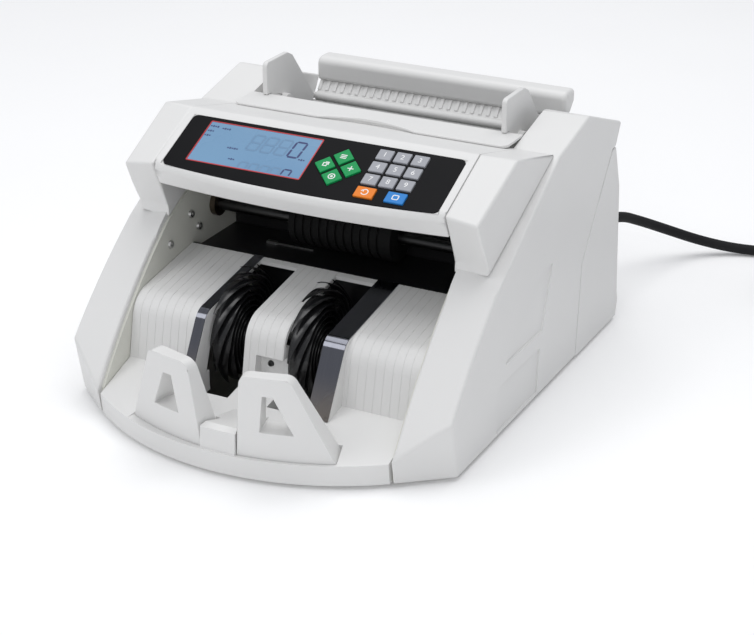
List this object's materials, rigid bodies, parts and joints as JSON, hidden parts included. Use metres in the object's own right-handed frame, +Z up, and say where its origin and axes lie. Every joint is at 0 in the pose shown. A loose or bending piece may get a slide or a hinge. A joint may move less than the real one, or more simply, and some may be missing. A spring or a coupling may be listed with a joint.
{
  "type": "banknote counter",
  "caption": "Desktop banknote counting machine with a rear hopper, sliding note guides, sloped keypad and display, stacker wheels and an open front stacker with stoppers.",
  "frame": {"origin": "centre of the machine's footprint on the table, without its mains cord", "axes": "+X to the operator's right, +Y to the rear, +Z up"},
  "size_m": [0.429, 0.4499, 0.168],
  "materials": {
    "housing": "satin moulded",
    "membrane": "satin",
    "lcd": "gloss",
    "key_grey": "satin",
    "key_green": "satin",
    "key_orange": "satin",
    "key_blue": "satin",
    "strip": "polished",
    "steel": "plain zinc",
    "dark_plastic": "satin moulded",
    "wheel": "gloss",
    "roller": "matte",
    "belt": "matte",
    "bush": "plain",
    "motor": "satin",
    "board": "satin",
    "foot": "matte",
    "cord": "satin"
  },
  "bodies": {
    "chassis": {"side_cover_right": "housing", "side_cover_left": "housing", "stacker_tray": "housing", "stopper_right": "housing", "stopper_left": "housing", "display_cover": "housing", "hopper_plate": "housing", "rear_cover": "housing", "keypad_panel": "membrane", "display_window": "lcd", "strip_left": "strip", "strip_right": "strip", "base_plate": "steel", "side_frame_left": "steel", "side_frame_right": "steel", "frame_screws": "steel", "guide_rail": "steel", "throat_plate": "dark_plastic", "power_inlet": "dark_plastic", "cord_connector": "dark_plastic", "mains_plug": "dark_plastic", "drive_belt": "belt", "stacker_belt": "belt", "pickup_belt": "belt", "shaft_bearings": "bush", "drive_motor": "motor", "display_board": "board", "main_board": "board", "feet": "foot", "mains_cord": "cord", "cord_coil": "cord"},
    "motor": {"motor_pulley": "steel"},
    "stacker": {"stacker_shaft": "steel", "stacker_wheel_left": "wheel", "stacker_wheel_right": "wheel"},
    "feed": {"feed_shaft": "steel", "feed_roller": "roller"},
    "pickup": {"pickup_shaft": "steel", "pickup_roller": "roller"},
    "right_guide": {"guide_right": "housing"},
    "left_guide": {"guide_left": "housing"},
    "flap": {"back_flap": "housing", "carry_bar": "housing"},
    "switch": {"power_switch": "dark_plastic"},
    "key_1_cap": {"key_1": "key_grey"},
    "key_2_cap": {"key_2": "key_grey"},
    "key_3_cap": {"key_3": "key_grey"},
    "key_4_cap": {"key_4": "key_grey"},
    "key_5_cap": {"key_5": "key_grey"},
    "key_6_cap": {"key_6": "key_grey"},
    "key_7_cap": {"key_7": "key_grey"},
    "key_8_cap": {"key_8": "key_grey"},
    "key_9_cap": {"key_9": "key_grey"},
    "key_north_cap": {"key_north": "key_green"},
    "key_east_cap": {"key_east": "key_green"},
    "key_south_cap": {"key_south": "key_green"},
    "key_west_cap": {"key_west": "key_green"},
    "key_clear_cap": {"key_clear": "key_orange"},
    "key_0_cap": {"key_0": "key_blue"}
  },
  "joints": [
    {"name": "stacker_spin", "type": "hinge", "parent": "chassis", "child": "stacker", "pos_m": [0, -0.0465, 0.0415], "axis": [1, 0, 0], "continuous": true},
    {"name": "feed_spin", "type": "hinge", "parent": "chassis", "child": "feed", "pos_m": [0, 0.014, 0.088], "axis": [1, 0, 0], "continuous": true},
    {"name": "pickup_spin", "type": "hinge", "parent": "chassis", "child": "pickup", "pos_m": [0, 0.092, 0.107], "axis": [1, 0, 0], "continuous": true},
    {"name": "motor_spin", "type": "hinge", "parent": "chassis", "child": "motor", "pos_m": [0, 0.062, 0.04], "axis": [1, 0, 0], "continuous": true},
    {"name": "right_guide_slide", "type": "slide", "parent": "chassis", "child": "right_guide", "axis": [1, 0, 0], "range_m": [-0.03, 0.005]},
    {"name": "left_guide_slide", "type": "slide", "parent": "chassis", "child": "left_guide", "axis": [1, 0, 0], "range_m": [-0.005, 0.03]},
    {"name": "flap_hinge", "type": "hinge", "parent": "chassis", "child": "flap", "pos_m": [0, 0.1305, 0.1246], "axis": [1, 0, 0], "range_deg": [-40, 0]},
    {"name": "switch_rock", "type": "hinge", "parent": "chassis", "child": "switch", "pos_m": [0.096, 0.1431, 0.075], "axis": [1, 0, 0], "range_deg": [-8, 8]},
    {"name": "key_1_press", "type": "slide", "parent": "chassis", "child": "key_1_cap", "axis": [0, 0.4239, -0.9057], "range_m": [0, 0.0005], "stiffness_N_per_m": 1000, "springref_m": -0.0005},
    {"name": "key_2_press", "type": "slide", "parent": "chassis", "child": "key_2_cap", "axis": [0, 0.4239, -0.9057], "range_m": [0, 0.0005], "stiffness_N_per_m": 1000, "springref_m": -0.0005},
    {"name": "key_3_press", "type": "slide", "parent": "chassis", "child": "key_3_cap", "axis": [0, 0.4239, -0.9057], "range_m": [0, 0.0005], "stiffness_N_per_m": 1000, "springref_m": -0.0005},
    {"name": "key_4_press", "type": "slide", "parent": "chassis", "child": "key_4_cap", "axis": [0, 0.4239, -0.9057], "range_m": [0, 0.0005], "stiffness_N_per_m": 1000, "springref_m": -0.0005},
    {"name": "key_5_press", "type": "slide", "parent": "chassis", "child": "key_5_cap", "axis": [0, 0.4239, -0.9057], "range_m": [0, 0.0005], "stiffness_N_per_m": 1000, "springref_m": -0.0005},
    {"name": "key_6_press", "type": "slide", "parent": "chassis", "child": "key_6_cap", "axis": [0, 0.4239, -0.9057], "range_m": [0, 0.0005], "stiffness_N_per_m": 1000, "springref_m": -0.0005},
    {"name": "key_7_press", "type": "slide", "parent": "chassis", "child": "key_7_cap", "axis": [0, 0.4239, -0.9057], "range_m": [0, 0.0005], "stiffness_N_per_m": 1000, "springref_m": -0.0005},
    {"name": "key_8_press", "type": "slide", "parent": "chassis", "child": "key_8_cap", "axis": [0, 0.4239, -0.9057], "range_m": [0, 0.0005], "stiffness_N_per_m": 1000, "springref_m": -0.0005},
    {"name": "key_9_press", "type": "slide", "parent": "chassis", "child": "key_9_cap", "axis": [0, 0.4239, -0.9057], "range_m": [0, 0.0005], "stiffness_N_per_m": 1000, "springref_m": -0.0005},
    {"name": "key_north_press", "type": "slide", "parent": "chassis", "child": "key_north_cap", "axis": [0, 0.4239, -0.9057], "range_m": [0, 0.0005], "stiffness_N_per_m": 1000, "springref_m": -0.0005},
    {"name": "key_east_press", "type": "slide", "parent": "chassis", "child": "key_east_cap", "axis": [0, 0.4239, -0.9057], "range_m": [0, 0.0005], "stiffness_N_per_m": 1000, "springref_m": -0.0005},
    {"name": "key_south_press", "type": "slide", "parent": "chassis", "child": "key_south_cap", "axis": [0, 0.4239, -0.9057], "range_m": [0, 0.0005], "stiffness_N_per_m": 1000, "springref_m": -0.0005},
    {"name": "key_west_press", "type": "slide", "parent": "chassis", "child": "key_west_cap", "axis": [0, 0.4239, -0.9057], "range_m": [0, 0.0005], "stiffness_N_per_m": 1000, "springref_m": -0.0005},
    {"name": "key_clear_press", "type": "slide", "parent": "chassis", "child": "key_clear_cap", "axis": [0, 0.4239, -0.9057], "range_m": [0, 0.0005], "stiffness_N_per_m": 1000, "springref_m": -0.0005},
    {"name": "key_0_press", "type": "slide", "parent": "chassis", "child": "key_0_cap", "axis": [0, 0.4239, -0.9057], "range_m": [0, 0.0005], "stiffness_N_per_m": 1000, "springref_m": -0.0005}
  ],
  "couplings": [
    {"joint": "feed_spin", "follows": "stacker_spin", "ratio": 1},
    {"joint": "pickup_spin", "follows": "stacker_spin", "ratio": 1},
    {"joint": "motor_spin", "follows": "stacker_spin", "ratio": 1}
  ]
}
